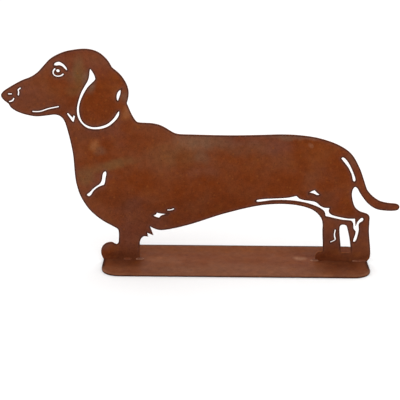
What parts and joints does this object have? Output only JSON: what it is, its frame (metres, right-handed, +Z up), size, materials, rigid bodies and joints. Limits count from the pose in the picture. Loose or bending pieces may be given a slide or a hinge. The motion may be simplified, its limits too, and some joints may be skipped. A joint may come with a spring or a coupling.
{
  "type": "flat steel dog silhouette sculpture",
  "caption": "Flat dachshund silhouette cut from rusted sheet steel, with cut-out slits for its features, tack welded upright on a thin rectangular base plate.",
  "frame": {"origin": "middle of the base plate's underside", "axes": "+Z up, +X along the dog from its nose to its tail, +Y from the show side to the back"},
  "size_m": [0.5, 0.1, 0.2782],
  "materials": {
    "dog_sheet": "matte",
    "base_plate": "matte",
    "tack_weld": "matte"
  },
  "bodies": {
    "root": {"dog_silhouette": "dog_sheet", "base_plate": "base_plate", "weld_front_foot": "tack_weld", "weld_front_heel": "tack_weld", "weld_hind_toe": "tack_weld", "weld_hind_heel": "tack_weld"}
  },
  "joints": []
}
